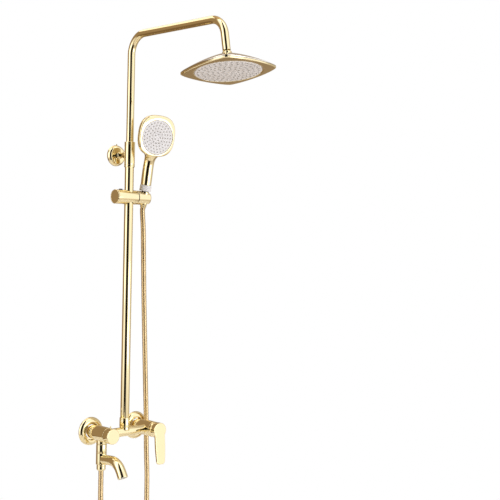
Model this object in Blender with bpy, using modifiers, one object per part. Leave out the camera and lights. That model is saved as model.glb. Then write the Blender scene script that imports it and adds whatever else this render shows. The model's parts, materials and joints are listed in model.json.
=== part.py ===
"""Exposed rainfall shower column: bath mixer, riser, telescopic arm, overhead head, handset and hose.

Metres, +Z up. The wall is the plane Y = 0 and the column stands out of it along -Y.
The origin is on the wall, midway between the two water inlets.
"""

from math import cos, pi, radians, sin, tan

import bmesh
import bpy
from mathutils import Euler, Matrix, Vector

# Driving dimensions
GAP = 0.0003
INLET_X = 0.075                    # half of the 150 mm between the inlets
BAR_OUT = 0.063                    # bar and riser axis, out of the wall
BAR_RADIUS = 0.0125
HUB_BACK = 0.030
LEFT_HUB_RADIUS, LEFT_HUB_FRONT = 0.0205, 0.0845
RIGHT_HUB_RADIUS, RIGHT_HUB_FRONT = 0.0210, 0.0870
LEVER_PIVOT_OUT = 0.088
KNOB_BACK, KNOB_FRONT = 0.0853, 0.1050
LEVER_BACK, LEVER_FRONT = 0.0978, 0.1130
RISER_X = -0.008
RISER_RADIUS, RISER_BORE = 0.0120, 0.0104
RISER_FOOT, RISER_TOP = 0.0258, 0.7420
SLEEVE_RADIUS, SLEEVE_LOW, SLEEVE_HIGH = 0.0140, 0.7110, 0.7790
BRACKET_Z = 0.745
ARM_RADIUS, ARM_BORE = 0.0100, 0.0085
ARM_FOOT_Z, ARM_Z, ARM_FALL = 0.560, 1.065, 0.0045
ARM_END_OUT = 0.4255               # where the forward run meets the drop
ARM_BEND, DROP_BEND = 0.052, 0.050
DROP_LEAN = radians(10.75)
DROP_TUBE, BALL_DISTANCE = 0.0825, 0.0965
HEAD_PITCH, HEAD_ROLL = radians(-8.8), radians(1.4)
HEAD_BALL_HEIGHT = 0.040           # ball centre above the spray face
HEAD_TIP, HEAD_POWER = 0.1155, 1.28
PLATE_RADIUS = 0.082
HOLDER_Z = 0.631
HOLDER_RADIUS, CRADLE_RADIUS = 0.0190, 0.01875
HOLDER_LEFT, HOLDER_SEAM, HOLDER_RIGHT = -0.0520, 0.0132, 0.0570
CRADLE_AXIS = Vector((0.041, -0.067, HOLDER_Z))
CRADLE_LEAN, HANDSET_TURN = radians(10.0), radians(-8.0)
CONE_LOW, CONE_HIGH = -0.0260, 0.0165
HANDSET_HEAD_UP, HANDSET_FACE = 0.168, 0.030
COLUMN_OUT = 0.0526                # outlet column axis, out of the wall
COLUMN_RADIUS = 0.0140
SPOUT_TOP, SPOUT_LOW = -0.0500, -0.0800
HOSE_NUT_LOW = -0.0960
HOSE_RADIUS = 0.0070

# Directions: a part turned about its own Z is stood out of the wall or laid along the bar
OUT_OF_WALL = (pi / 2, 0, 0)
ALONG_BAR = (0, pi / 2, 0)
UPRIGHT = (0, 0, 0)

FINISHES = {
    "gold": ((0.83, 0.60, 0.26, 1), 0.12, 1.0),
    "gold_plastic": ((0.83, 0.60, 0.26, 1), 0.14, 1.0),
    "hose_metal": ((0.66, 0.52, 0.28, 1), 0.30, 1.0),
    "white_plastic": ((0.86, 0.85, 0.83, 1), 0.35, 0.0),
    "brass": ((0.72, 0.53, 0.25, 1), 0.35, 1.0),
    "rubber": ((0.03, 0.03, 0.03, 1), 0.70, 0.0),
    "dark_plastic": ((0.06, 0.06, 0.06, 1), 0.45, 0.0),
    "steel": ((0.62, 0.62, 0.60, 1), 0.30, 1.0),
    "ceramic_plastic": ((0.75, 0.76, 0.74, 1), 0.40, 0.0),
}


# ---------------------------------------------------------------- scene and shape helpers

for old in list(bpy.data.objects):
    bpy.data.objects.remove(old, do_unlink=True)

PARTS = bpy.data.collections.new("rainfall_shower_column")
CUTTERS = bpy.data.collections.new("cutters")
for folder in (PARTS, CUTTERS):
    bpy.context.scene.collection.children.link(folder)


def make_material(name):
    colour, roughness, metallic = FINISHES[name]
    material = bpy.data.materials.new(name)
    material.use_nodes = True
    shader = material.node_tree.nodes["Principled BSDF"]
    shader.inputs["Base Color"].default_value = colour
    shader.inputs["Roughness"].default_value = roughness
    shader.inputs["Metallic"].default_value = metallic
    return material


MATERIALS = {name: make_material(name) for name in FINISHES}


def keep(obj, finish=None):
    """Puts the object with the parts under its finish, or with the cutters when it has none."""
    for folder in list(obj.users_collection):
        folder.objects.unlink(obj)
    if finish:
        PARTS.objects.link(obj)
        obj.data.materials.clear()
        obj.data.materials.append(MATERIALS[finish])
    else:
        CUTTERS.objects.link(obj)
        obj.hide_render = True
        obj.display_type = "WIRE"
    return obj


def turned(name, profile, finish=None, at=(0, 0, 0), turn=UPRIGHT, steps=24):
    """A solid of revolution. The (radius, height) profile runs down the outside, then up any bore."""
    mesh = bpy.data.meshes.new(name)
    bored = all(radius > 0 for radius, height in profile)
    edges = [(i, i + 1) for i in range(len(profile) - 1)]
    if bored:
        edges.append((len(profile) - 1, 0))
    mesh.from_pydata([(radius, 0, height) for radius, height in profile], edges, [])
    obj = bpy.data.objects.new(name, mesh)
    obj.location, obj.rotation_euler = at, turn
    screw = obj.modifiers.new("turning", "SCREW")
    screw.steps = screw.render_steps = steps
    screw.use_merge_vertices = True
    screw.merge_threshold = 1e-5
    return keep(obj, finish)


def rod(name, radius, low, high, finish=None, at=(0, 0, 0), turn=UPRIGHT, steps=24, chamfer=0.0):
    top = [(0, high), (radius - chamfer, high)] + ([(radius, high - chamfer)] if chamfer else [])
    bottom = ([(radius, low + chamfer)] if chamfer else []) + [(radius - chamfer, low), (0, low)]
    return turned(name, top + bottom, finish, at, turn, steps)


def ring(name, outer, inner, low, high, finish=None, at=(0, 0, 0), turn=UPRIGHT, steps=24):
    return turned(name, [(outer, high), (outer, low), (inner, low), (inner, high)],
                  finish, at, turn, steps)


def block(name, size, centre, finish=None, turn=UPRIGHT):
    mesh = bpy.data.meshes.new(name)
    bm = bmesh.new()
    bmesh.ops.create_cube(bm, size=1.0, matrix=Matrix.Diagonal((*size, 1)))
    bm.to_mesh(mesh)
    bm.free()
    obj = bpy.data.objects.new(name, mesh)
    obj.location, obj.rotation_euler = centre, turn
    return keep(obj, finish)


def tube_curve(name, points, radii, bevel_resolution=4):
    """A poly curve with a round section and closed ends. radii is one radius, or one for each point."""
    curve = bpy.data.curves.new(name, "CURVE")
    curve.dimensions = "3D"
    curve.bevel_resolution = bevel_resolution
    curve.use_fill_caps = True
    spline = curve.splines.new("POLY")
    spline.points.add(len(points) - 1)
    widest = radii if isinstance(radii, float) else max(radii)
    curve.bevel_depth = widest
    for i, place in enumerate(points):
        spline.points[i].co = (*place, 1)
        spline.points[i].radius = 1.0 if isinstance(radii, float) else radii[i] / widest
    obj = bpy.data.objects.new(name, curve)
    bpy.context.scene.collection.objects.link(obj)
    return obj


def as_mesh(source, finish=None):
    """The curve as a closed mesh that Booleans can work on."""
    bpy.context.view_layer.update()
    graph = bpy.context.evaluated_depsgraph_get()
    mesh = bpy.data.meshes.new_from_object(source.evaluated_get(graph))
    bm = bmesh.new()
    bm.from_mesh(mesh)
    bmesh.ops.remove_doubles(bm, verts=bm.verts, dist=1e-6)
    bmesh.ops.recalc_face_normals(bm, faces=bm.faces)
    bm.to_mesh(mesh)
    bm.free()
    name, place = source.name, source.matrix_world.copy()
    bpy.data.objects.remove(source, do_unlink=True)
    obj = bpy.data.objects.new(name, mesh)
    obj.matrix_world = place
    return keep(obj, finish)


def loft(name, rings, finish=None, at=(0, 0, 0), turn=UPRIGHT, hollow=False):
    """Skins rings of equally many points. A hollow loft closes on its first ring, a solid one is capped."""
    bm = bmesh.new()
    rows = [[bm.verts.new(point) for point in row] for row in rings]
    count = len(rings[0])
    pairs = list(zip(rows, rows[1:])) + ([(rows[-1], rows[0])] if hollow else [])
    for upper, lower in pairs:
        for i in range(count):
            bm.faces.new((upper[i], upper[(i + 1) % count], lower[(i + 1) % count], lower[i]))
    if not hollow:
        bm.faces.new(rows[0])
        bm.faces.new(rows[-1])
    bmesh.ops.recalc_face_normals(bm, faces=bm.faces)
    mesh = bpy.data.meshes.new(name)
    bm.to_mesh(mesh)
    bm.free()
    obj = bpy.data.objects.new(name, mesh)
    obj.location, obj.rotation_euler = at, turn
    return keep(obj, finish)


def combine(obj, operation, others, solver="EXACT"):
    """Adds live Booleans to obj. The others become helpers that aren't parts."""
    for other in others:
        keep(other)
        modifier = obj.modifiers.new(f"{operation.lower()} {other.name}", "BOOLEAN")
        modifier.operation = operation
        modifier.solver = solver
        modifier.object = other
    return obj


def smooth_path(route, spacing):
    """Points about one spacing apart along a smooth curve through the route's points."""
    stops = [Vector(p) for p in route]
    ends = [stops[0] * 2 - stops[1]] + stops + [stops[-1] * 2 - stops[-2]]
    dense = []
    for a, b, c, d in zip(ends, ends[1:], ends[2:], ends[3:]):
        pieces = max(4, int((c - b).length / 0.002))
        m1 = (c - a) * 0.5
        m2 = (d - b) * 0.5
        for k in range(pieces):
            t = k / pieces
            dense.append(b * (2 * t ** 3 - 3 * t ** 2 + 1) + m1 * (t ** 3 - 2 * t ** 2 + t)
                         + c * (3 * t ** 2 - 2 * t ** 3) + m2 * (t ** 3 - t ** 2))
    dense.append(stops[-1])
    total = sum((q - p).length for p, q in zip(dense, dense[1:]))
    step = total / round(total / spacing)
    path, walked = [dense[0]], 0.0
    for p, q in zip(dense, dense[1:]):
        walked += (q - p).length
        if walked >= step * len(path) - 1e-9 and len(path) < round(total / step):
            path.append(q)
    path.append(dense[-1])
    return path


def bend_points(corner, start, end, radius, pieces=8):
    """Points round a bend at corner, between the directions towards start and towards end."""
    to_start, to_end = (start - corner).normalized(), (end - corner).normalized()
    half = to_start.angle(to_end) / 2
    centre = corner + (to_start + to_end).normalized() * (radius / sin(half))
    first = corner + to_start * (radius / tan(half)) - centre
    axis = to_end.cross(to_start).normalized()
    sweep = pi - 2 * half
    return [centre + Matrix.Rotation(-sweep * i / pieces, 3, -axis) @ first for i in range(pieces + 1)]


# ---------------------------------------------------------------- wall inlets

def wall_inlet(side, x):
    at = (x, 0, 0)
    turned(f"wall_flange_{side}", [
        (0.0183, 0.0045), (0.0222, 0.0050), (0.0230, 0.0100), (0.0262, 0.0106), (0.0320, 0.0090),
        (0.0365, 0.0045), (0.0378, 0.0), (0.0345, 0.0), (0.0320, 0.0058), (0.0250, 0.0076),
        (0.0240, 0.0028), (0.0183, 0.0025)],
        "gold", at, OUT_OF_WALL, steps=26)
    turned(f"inlet_union_{side}", [
        (0.0128, 0.0225), (0.0128, 0.0080), (0.0150, 0.0075), (0.0150, 0.0030), (0.0103, 0.0025),
        (0.0103, -0.0180), (0.0070, -0.0180), (0.0070, 0.0225)],
        "brass", at, OUT_OF_WALL)
    turned(f"union_nut_{side}", [
        (0.0168, 0.0294), (0.0180, 0.0282), (0.0180, 0.0102), (0.0170, 0.0090), (0.0132, 0.0090),
        (0.0132, 0.0276), (0.0110, 0.0276), (0.0110, 0.0294)],
        "gold", at, OUT_OF_WALL)
    ring(f"inlet_washer_{side}", 0.0126, 0.0078, 0.0228, 0.0245, "rubber", at, OUT_OF_WALL)


wall_inlet("left", -INLET_X)
wall_inlet("right", INLET_X)


# ---------------------------------------------------------------- mixer body

def mixer_body():
    """One casting: two housings joined by the bar, with tails, a riser spigot and an outlet boss."""
    left, right = (-INLET_X, 0, 0), (INLET_X, 0, 0)
    reach = INLET_X - 0.010
    body = rod("mixer_body", BAR_RADIUS, -reach, reach, "gold", (0, -BAR_OUT, 0), ALONG_BAR)
    combine(body, "UNION", [
        rod("left_hub_solid", LEFT_HUB_RADIUS, HUB_BACK, LEFT_HUB_FRONT, None, left, OUT_OF_WALL,
            steps=36, chamfer=0.0008),
        rod("right_hub_solid", RIGHT_HUB_RADIUS, HUB_BACK, RIGHT_HUB_FRONT, None, right, OUT_OF_WALL,
            steps=36, chamfer=0.0008),
        rod("outlet_boss", COLUMN_RADIUS, -0.0270, -0.0165, None, (-INLET_X, -COLUMN_OUT, 0), steps=28),
        rod("riser_spigot", 0.0110, 0.0050, 0.0240, None, (RISER_X, -BAR_OUT, 0)),
        *[turned(f"tail_{i}", [(0, 0.034), (0.0106, 0.034), (0.0106, 0.0273), (0.0126, 0.0273),
                               (0.0126, 0.0248), (0, 0.0248)], None, place, OUT_OF_WALL)
          for i, place in enumerate((left, right))],
    ], solver="MANIFOLD")
    combine(body, "DIFFERENCE", [
        rod("left_pocket", 0.0160, 0.0560, 0.1000, None, left, OUT_OF_WALL, steps=28),
        rod("right_pocket", 0.0180, 0.0560, 0.1000, None, right, OUT_OF_WALL),
        rod("left_inlet_way", 0.0070, 0.0200, 0.0600, None, left, OUT_OF_WALL, steps=16),
        rod("right_inlet_way", 0.0070, 0.0200, 0.0600, None, right, OUT_OF_WALL, steps=16),
        rod("bar_way", 0.0065, -0.0630, 0.0630, None, (0, -0.0665, 0), ALONG_BAR, steps=16),
        rod("riser_way", 0.0070, -0.0030, 0.0300, None, (RISER_X, -BAR_OUT, 0), steps=16),
        rod("outlet_way", 0.0050, -0.0300, 0.0, None, (-INLET_X, -0.0590, 0), steps=16),
    ], solver="MANIFOLD")
    return body


mixer_body()


# ---------------------------------------------------------------- mixing cartridge and lever

def on_right_hub(y=0.0, z=0.0):
    return (INLET_X, -y, z)


def cartridge():
    at = on_right_hub()
    body = rod("mixing_cartridge", 0.0174, 0.0566, 0.0800, "ceramic_plastic", at, OUT_OF_WALL)
    combine(body, "DIFFERENCE", [rod("carrier_seat", 0.0120, 0.0731, 0.0900, None, at, OUT_OF_WALL)])
    ring("cartridge_nut", 0.0176, 0.0122, 0.0803, 0.0866, "brass", at, OUT_OF_WALL)
    dome_radius = 0.0203
    opening = 0.0132
    dome = [(opening, 0.0990)]
    for i in range(5):
        angle = radians(57.2) + (radians(92.0) - radians(57.2)) * i / 4
        dome.append((dome_radius * sin(angle), LEVER_PIVOT_OUT + dome_radius * cos(angle)))
    dome += [(0.0186, dome[-1][1]), (0.0186, 0.0900), (0.0160, 0.0974), (opening, 0.0974)]
    turned("cartridge_dome", dome, "gold", at, OUT_OF_WALL, steps=28)


def lever_carrier():
    """The fork that turns for temperature. The stem rocks between its cheeks for flow."""
    fork = rod("stem_carrier", 0.0115, 0.0735, 0.0915, "ceramic_plastic", on_right_hub(), OUT_OF_WALL)
    combine(fork, "DIFFERENCE", [
        block("carrier_slot", (0.0086, 0.0140, 0.0300), on_right_hub(0.0845)),
        rod("carrier_pin_hole", 0.0018, -0.013, 0.013, None, on_right_hub(LEVER_PIVOT_OUT), ALONG_BAR,
            steps=12),
    ])
    rod("stem_pin", 0.0015, -0.0105, 0.0105, "steel", on_right_hub(LEVER_PIVOT_OUT), ALONG_BAR, steps=12)


def lever():
    stem_low, stem_high = 0.0800, 0.1060
    stem = block("cartridge_stem", (0.0078, stem_high - stem_low, 0.0068),
                 on_right_hub((stem_low + stem_high) / 2), "brass")
    combine(stem, "DIFFERENCE", [
        rod("stem_pin_hole", 0.0018, -0.006, 0.006, None, on_right_hub(LEVER_PIVOT_OUT), ALONG_BAR,
            steps=12)])

    handle = turned("lever_handle", [
        (0, LEVER_FRONT), (0.0200, LEVER_FRONT), (0.0210, 0.1120), (0.0210, LEVER_BACK),
        (0.0190, LEVER_BACK), (0.0190, 0.1086), (0.0075, 0.1086), (0.0075, 0.1010), (0, 0.1010)],
        "gold", on_right_hub(), OUT_OF_WALL, steps=36)
    thickness, lean = 0.0060, radians(-5.0)
    half = [(0.0163, -0.002), (0.0162, -0.045), (0.0150, -0.068), (0.0136, -0.0800)]
    tip_centre, tip_radius = (0.0052, -0.0826), 0.0084
    half += [(tip_centre[0] + tip_radius * cos(a), tip_centre[1] - tip_radius * sin(a))
             for a in (0.0, pi / 8, pi / 4, 3 * pi / 8, pi / 2)]
    outline = half + [(-x, z) for x, z in reversed(half)]
    front, back = -thickness / 2, thickness / 2
    paddle = loft("paddle", [[(x, depth, z) for x, z in outline] for depth in (front, back)],
                  None, on_right_hub(LEVER_FRONT - thickness / 2 - 0.0004), (lean, 0, 0))
    combine(handle, "UNION", [paddle])
    combine(handle, "DIFFERENCE", [
        block("stem_socket", (0.0086, 0.0060, 0.0076), on_right_hub(0.1035)),
        rod("grub_hole", 0.0025, 0.0030, 0.0240, None, on_right_hub(0.1040), ALONG_BAR, steps=14),
    ])
    rod("lever_grub_screw", 0.0022, 0.0046, 0.0090, "steel", on_right_hub(0.1040), ALONG_BAR, steps=12)


cartridge()
lever_carrier()
lever()


# ---------------------------------------------------------------- diverter

def diverter():
    at = (-INLET_X, 0, 0)
    body = rod("diverter_cartridge", 0.0156, 0.0566, 0.0780, "ceramic_plastic", at, OUT_OF_WALL)
    combine(body, "DIFFERENCE", [rod("spindle_seat", 0.0043, 0.0600, 0.0900, None, at, OUT_OF_WALL)])
    ring("diverter_nut", 0.0157, 0.0060, 0.0783, 0.0842, "brass", at, OUT_OF_WALL)
    rod("diverter_spindle", 0.0040, 0.0604, 0.0995, "brass", at, OUT_OF_WALL, steps=20)
    knob = turned("diverter_knob", [
        (0, KNOB_FRONT), (0.0196, KNOB_FRONT), (0.0203, 0.1043), (0.0203, KNOB_BACK),
        (0.0180, KNOB_BACK), (0.0180, 0.0995), (0.0070, 0.0995), (0.0070, 0.0890), (0, 0.0890)],
        "gold", at, OUT_OF_WALL, steps=36)
    pegs = []
    for i in range(3):
        angle = radians(90 + 120 * i)
        pegs.append(rod(f"peg_{i}", 0.0017, 0.0190, 0.0262, None, (-INLET_X, -0.0915, 0),
                        (0, pi / 2 - angle, 0), steps=12, chamfer=0.0004))
    combine(knob, "UNION", pegs)
    combine(knob, "DIFFERENCE", [rod("spindle_socket", 0.0043, 0.0850, 0.0999, None, at, OUT_OF_WALL)])


diverter()


# ---------------------------------------------------------------- outlet column and swivel spout

def outlet_column():
    axis = (-INLET_X, -COLUMN_OUT, 0)
    top, shoulder, foot, spigot = -0.0273, SPOUT_TOP + GAP, -0.0905, 0.0090
    groove = 0.0073
    body = turned("outlet_column", [
        (COLUMN_RADIUS, top), (COLUMN_RADIUS, shoulder), (spigot, shoulder),
        (spigot, -0.0532), (groove, -0.0532), (groove, -0.0562), (spigot, -0.0562),
        (spigot, -0.0742), (groove, -0.0742), (groove, -0.0772), (spigot, -0.0772),
        (spigot, foot), (0.0055, foot), (0.0055, top)], "gold", axis, UPRIGHT)
    combine(body, "DIFFERENCE", [
        rod("spout_port", 0.0045, 0.0, 0.0200, None, (axis[0], axis[1], -0.0655), OUT_OF_WALL, steps=14)])
    for name, low in (("spout_oring_upper", -0.0559), ("spout_oring_lower", -0.0769)):
        ring(name, 0.0092, 0.0076, low, low + 0.0024, "rubber", axis, UPRIGHT)
    turned("hose_outlet_nut", [
        (0.0120, SPOUT_LOW - GAP), (0.0120, -0.0925), (0.0105, HOSE_NUT_LOW), (0.0055, HOSE_NUT_LOW),
        (0.0055, -0.0930), (0.0093, -0.0930), (0.0093, SPOUT_LOW - GAP)],
        "gold", axis, UPRIGHT)


def spout():
    axis_y = -COLUMN_OUT
    run = [(-0.0040, -0.0665), (-0.0200, -0.0652), (-0.0350, -0.0640), (-0.0490, -0.0633),
           (-0.0610, -0.0650), (-0.0715, -0.0695), (-0.0805, -0.0765), (-0.0875, -0.0853),
           (-0.0930, -0.0938), (-0.0969, -0.1008)]
    path = [Vector((-INLET_X, axis_y + y, z)) for y, z in run]
    radii = [0.0122 + 0.0013 * i / (len(path) - 1) for i in range(len(path))]
    tip_way = (path[-1] - path[-2]).normalized()
    shell = as_mesh(tube_curve("spout_body", path, radii, 5), "gold")
    combine(shell, "UNION", [
        rod("spout_tee", COLUMN_RADIUS, SPOUT_LOW, SPOUT_TOP, None, (-INLET_X, axis_y, 0), steps=28)])
    way = as_mesh(tube_curve("spout_way", path + [path[-1] + tip_way * 0.004], 0.0098, 4))
    combine(shell, "DIFFERENCE", [
        way, rod("tee_bore", 0.0095, -0.1000, -0.0300, None, (-INLET_X, axis_y, 0), steps=28)])
    turn = Vector((0, 0, 1)).rotation_difference(-tip_way).to_euler()
    turned("spout_aerator", [
        (0, 0.0090), (0.0080, 0.0090), (0.0093, 0.0078), (0.0093, 0.0010), (0.0075, 0.0010),
        (0.0075, 0.0030), (0, 0.0030)], "ceramic_plastic", path[-1], turn)


outlet_column()
spout()


# ---------------------------------------------------------------- riser and its wall bracket

def riser():
    axis = (RISER_X, -BAR_OUT, 0)
    turned("riser_nut", [
        (0.0125, 0.0380), (0.0138, 0.0370), (0.0138, 0.0140), (0.0132, 0.0132), (0.0114, 0.0132),
        (0.0114, 0.0246), (0.0124, 0.0246), (0.0124, 0.0380)], "gold", axis)
    ring("riser_seal", 0.0111, 0.0082, 0.0243, 0.0255, "rubber", axis, UPRIGHT)
    ring("lower_riser", RISER_RADIUS, RISER_BORE, RISER_FOOT, RISER_TOP, "gold", axis, UPRIGHT, steps=32)
    turned("bracket_sleeve", [
        (0.0132, SLEEVE_HIGH), (SLEEVE_RADIUS, SLEEVE_HIGH - 0.0008), (SLEEVE_RADIUS, SLEEVE_LOW + 0.0008),
        (0.0132, SLEEVE_LOW), (0.0123, SLEEVE_LOW), (0.0123, RISER_TOP + GAP), (0.0103, RISER_TOP + GAP),
        (0.0103, 0.7600), (0.0124, 0.7600), (0.0124, 0.7630), (0.0103, 0.7630), (0.0103, SLEEVE_HIGH)],
        "gold", axis, UPRIGHT, steps=28)
    ring("sleeve_oring", 0.0121, 0.0103, 0.7603, 0.7627, "rubber", axis, UPRIGHT)


def wall_bracket():
    at = (RISER_X, 0, BRACKET_Z)
    flange = turned("bracket_flange", [
        (0.0097, 0.0128), (0.0220, 0.0118), (0.0265, 0.0088), (0.0283, 0.0040), (0.0285, 0.0),
        (0.0245, 0.0), (0.0245, 0.0050), (0.0210, 0.0088), (0.0097, 0.0098)], "gold", at, OUT_OF_WALL,
        steps=32)
    pin_at = (RISER_X, -0.0036, BRACKET_Z)
    combine(flange, "DIFFERENCE", [rod("pin_hole", 0.0019, 0.0200, 0.0400, None, pin_at, steps=12)])
    rod("bracket_grub_screw", 0.0016, 0.0235, 0.0315, "gold", pin_at, steps=12)
    post = turned("bracket_post", [
        (0, 0.0560), (0.0088, 0.0560), (0.0088, 0.0390), (0.0070, 0.0375), (0.0070, 0.0215),
        (0.0092, 0.0195), (0.0092, 0.0040), (0.0060, 0.0040), (0.0060, 0.0088), (0, 0.0088)],
        "gold", at, OUT_OF_WALL)
    combine(post, "DIFFERENCE", [
        rod("sleeve_saddle", SLEEVE_RADIUS + GAP, SLEEVE_LOW, SLEEVE_HIGH, None,
            (RISER_X, -BAR_OUT, 0), steps=32)])
    ring("bracket_wall_plate", 0.0225, 0.0030, 0.0004, 0.0036, "steel", at, OUT_OF_WALL)
    turned("wall_screw", [
        (0, 0.0072), (0.0040, 0.0072), (0.0052, 0.0040), (0.0026, 0.0040), (0.0026, -0.0240),
        (0, -0.0300)], "steel", at, OUT_OF_WALL, steps=14)


riser()
wall_bracket()


# ---------------------------------------------------------------- telescopic arm

def arm_path():
    corner = Vector((RISER_X, -BAR_OUT, ARM_Z))
    end_corner = Vector((RISER_X, -ARM_END_OUT, ARM_Z - ARM_FALL))
    down = Vector((0, -sin(DROP_LEAN), -cos(DROP_LEAN)))
    foot = Vector((RISER_X, -BAR_OUT, ARM_FOOT_Z))
    end = end_corner + down * DROP_TUBE
    return ([foot] + bend_points(corner, foot, end_corner, ARM_BEND)
            + bend_points(end_corner, corner, end, DROP_BEND) + [end]), down


def arm():
    path, down = arm_path()
    tube = as_mesh(tube_curve("shower_arm", path, ARM_RADIUS, 4), "gold")
    before, after = path[0] - Vector((0, 0, 0.002)), path[-1] + down * 0.002
    way = as_mesh(tube_curve("arm_way", [before] + path[1:-1] + [after], ARM_BORE, 2))
    combine(tube, "DIFFERENCE", [way])
    ring("upper_tube_guide", 0.0101, 0.0070, 0.5480, 0.5597, "dark_plastic", (RISER_X, -BAR_OUT, 0),
         UPRIGHT)
    ball_centre = path[-1] + down * (BALL_DISTANCE - DROP_TUBE)
    turn = Vector((0, 0, 1)).rotation_difference(-down).to_euler()
    ball_radius, neck = 0.0085, 0.0052
    profile = [(0, 0.0300), (0.0076, 0.0300), (0.0076, 0.0183), (neck, 0.0165)]
    neck_angle = 0.66
    for i in range(7):
        angle = neck_angle + (pi - neck_angle) * i / 6
        profile.append((max(ball_radius * sin(angle), 0), ball_radius * cos(angle)))
    profile[-1] = (0, -ball_radius)
    turned("arm_ball", profile, "brass", ball_centre, turn)
    return ball_centre


BALL_CENTRE = arm()


# ---------------------------------------------------------------- overhead head

HEAD_TURN = Euler((HEAD_PITCH, HEAD_ROLL, 0), "XYZ")
HEAD_AT = BALL_CENTRE - HEAD_TURN.to_matrix() @ Vector((0, 0, HEAD_BALL_HEIGHT))
HEAD_SIDES = 60


def head_outline(scale, height):
    """The pillow-shaped square outline: its four tips lie on the diagonals."""
    row = []
    for i in range(HEAD_SIDES):
        angle = 2 * pi * i / HEAD_SIDES
        spread = abs(cos(angle)) ** HEAD_POWER + abs(sin(angle)) ** HEAD_POWER
        radius = scale * HEAD_TIP / spread ** (1 / HEAD_POWER)
        row.append((radius * cos(angle + pi / 4), radius * sin(angle + pi / 4), height))
    return row


def circle_row(radius, height, sides=HEAD_SIDES):
    angles = [2 * pi * i / sides + pi / 4 for i in range(sides)]
    return [(radius * cos(a), radius * sin(a), height) for a in angles]


def blend_rows(first, second, share):
    return [tuple(Vector(a).lerp(Vector(b), share)) for a, b in zip(first, second)]


def head():
    place = {"at": HEAD_AT, "turn": HEAD_TURN}
    shell_low, shell_high, wall = 0.0055, 0.0370, 0.0022
    collar = 0.0150

    def shell_rows(drop, inset):
        rows = []
        for share in (1.0, 0.94, 0.80, 0.60, 0.38, 0.18, 0.0):
            edge = head_outline(1.0 - inset / HEAD_TIP, 0)
            inner = circle_row(collar, 0)
            height = shell_low + 0.0015 + (shell_high - shell_low - 0.0015) * (1 - share ** 1.7) - drop
            rows.append([(x, y, height) for x, y, _ in blend_rows(inner, edge, share)])
        return rows

    outer = [head_outline(1.0, shell_low)] + shell_rows(0.0, 0.0)
    inner = [head_outline(1.0 - 0.003 / HEAD_TIP, shell_low)] + shell_rows(wall, 0.003)
    inner[1] = head_outline(1.0 - 0.003 / HEAD_TIP, shell_low + 0.0004)
    loft("head_top_shell", outer + inner[::-1], "gold_plastic", hollow=True, **place)
    loft("head_face_frame", [
        head_outline(1.0, 0.0050), head_outline(1.0, 0.0016), head_outline(0.985, 0.0),
        circle_row(PLATE_RADIUS + 0.0008, 0.0), circle_row(PLATE_RADIUS + 0.0008, 0.0050)],
        "gold_plastic", hollow=True, **place)
    turned("head_nozzle_plate", [
        (0, 0.0046), (PLATE_RADIUS, 0.0046), (PLATE_RADIUS, 0.0006), (PLATE_RADIUS - 0.001, -0.0004),
        (0, -0.0004)], "white_plastic", steps=44, **place)
    turned("head_water_box", [
        (0.0120, 0.0395), (0.0120, 0.0160), (0.0450, 0.0140), (0.0780, 0.0110), (0.0800, 0.0100),
        (0.0800, 0.0068), (0.0770, 0.0068), (0.0760, 0.0090), (0.0440, 0.0118), (0.0060, 0.0135),
        (0.0060, 0.0285), (0.0090, 0.0305), (0.0102, 0.0340), (0.0106, 0.0395)],
        "dark_plastic", **place)
    turned("ball_nut", [
        (0.0098, 0.0500), (0.0112, 0.0500), (0.0118, 0.0490), (0.0128, 0.0440), (0.0152, 0.0412),
        (0.0152, 0.0398), (0.0106, 0.0398), (0.0106, 0.0440),
        (0.0094, 0.0465), (0.0094, 0.0500)], "gold", **place)
    turned("ball_seat_ring", [
        (0.0100, HEAD_BALL_HEIGHT - 0.0006), (0.0100, HEAD_BALL_HEIGHT - 0.0036),
        (0.0086, HEAD_BALL_HEIGHT - 0.0036), (0.0089, HEAD_BALL_HEIGHT - 0.0006)],
        "white_plastic", **place)


head()


# ---------------------------------------------------------------- sliding holder

def holder():
    at = (0, -BAR_OUT, HOLDER_Z)
    body = rod("slider_body", HOLDER_RADIUS, HOLDER_LEFT, HOLDER_SEAM, "gold_plastic", at, ALONG_BAR,
               steps=36, chamfer=0.0006)
    button_at = (-0.0340, -0.0610, HOLDER_Z)
    combine(body, "DIFFERENCE", [
        rod("riser_hole", 0.0136, -0.030, 0.030, None, (RISER_X, -BAR_OUT, HOLDER_Z), steps=32),
        rod("button_hole", 0.0054, 0.0050, 0.0300, None, button_at, steps=20),
        rod("cap_hole", 0.0103, HOLDER_LEFT - 0.005, -0.0438, None, at, ALONG_BAR),
        rod("pivot_hole", 0.0050, 0.0085, 0.0200, None, at, ALONG_BAR, steps=20),
    ])
    ring("slider_bush", 0.0133, 0.0123, -0.0130, 0.0130, "dark_plastic", (RISER_X, -BAR_OUT, HOLDER_Z),
         UPRIGHT, steps=32)
    turned("slider_end_cap", [
        (0, -0.0442), (0.0100, -0.0442), (0.0100, HOLDER_LEFT - GAP), (HOLDER_RADIUS, HOLDER_LEFT - GAP),
        (HOLDER_RADIUS, HOLDER_LEFT - 0.0022), (0.0182, HOLDER_LEFT - 0.0030), (0, HOLDER_LEFT - 0.0030)],
        "gold_plastic", at, ALONG_BAR, steps=36)
    rod("release_button", 0.0050, 0.0085, 0.0215, "dark_plastic", button_at, steps=20, chamfer=0.0008)
    ring("cradle_washer", 0.0178, 0.0052, HOLDER_SEAM + GAP, HOLDER_SEAM + 0.0012, "rubber", at, ALONG_BAR)
    rod("cradle_pin", 0.0046, 0.0090, 0.0215, "steel", at, ALONG_BAR, steps=20)


def along_cradle(up):
    return CRADLE_AXIS + Vector((0, -sin(CRADLE_LEAN), cos(CRADLE_LEAN))) * up


def cone_radius(up):
    return 0.0103 + 0.0563 * up


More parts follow.
